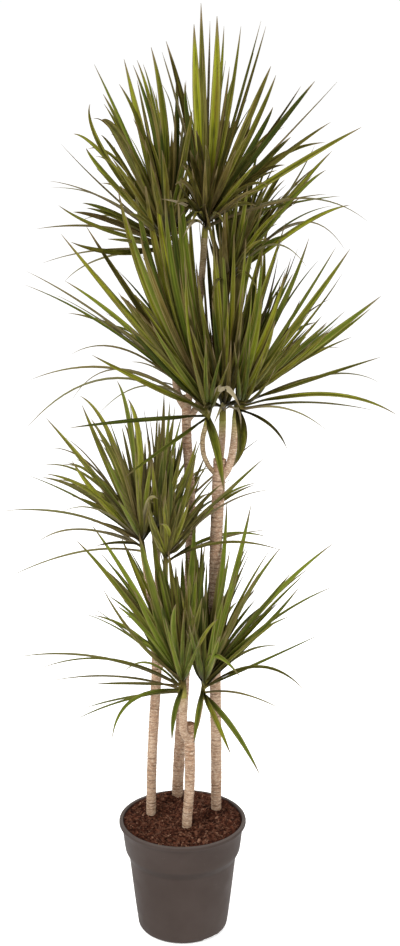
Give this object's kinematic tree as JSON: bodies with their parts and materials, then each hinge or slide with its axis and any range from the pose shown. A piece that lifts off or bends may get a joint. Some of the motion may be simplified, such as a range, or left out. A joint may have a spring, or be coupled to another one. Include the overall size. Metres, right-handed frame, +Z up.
{
  "type": "potted dracaena",
  "caption": "Tall dragon tree: upright cut canes with side shoots and tufts of long narrow leaves, in a round nursery pot filled with soil.",
  "frame": {"origin": "middle of the pot's foot, on the surface that it stands on", "axes": "+Z up along the pot's axis, -Y towards the front of the picture, +X to the right"},
  "size_m": [0.7019, 0.6696, 1.7029],
  "materials": {
    "pot_plastic": "satin",
    "potting_soil": "matte",
    "bark": "matte",
    "young_bark": "matte",
    "leaf": "satin"
  },
  "bodies": {
    "root": {"pot": "pot_plastic", "soil": "potting_soil", "cane_tallest": "bark", "cane_tall": "bark", "cane_medium": "bark", "cane_short": "bark", "shoot_tallest_left": "young_bark", "shoot_tallest_middle": "young_bark", "shoot_tallest_right": "young_bark", "shoot_tall_left": "young_bark", "shoot_tall_middle": "young_bark", "shoot_tall_right": "young_bark", "shoot_medium_left": "young_bark", "shoot_medium_middle": "young_bark", "shoot_medium_right": "young_bark", "shoot_short_left": "young_bark", "shoot_short_right": "young_bark", "leaves_tallest_left": "leaf", "leaves_tallest_middle": "leaf", "leaves_tallest_right": "leaf", "leaves_tall_left": "leaf", "leaves_tall_middle": "leaf", "leaves_tall_right": "leaf", "leaves_medium_left": "leaf", "leaves_medium_middle": "leaf", "leaves_medium_right": "leaf", "leaves_short_left": "leaf", "leaves_short_right": "leaf"}
  },
  "joints": []
}
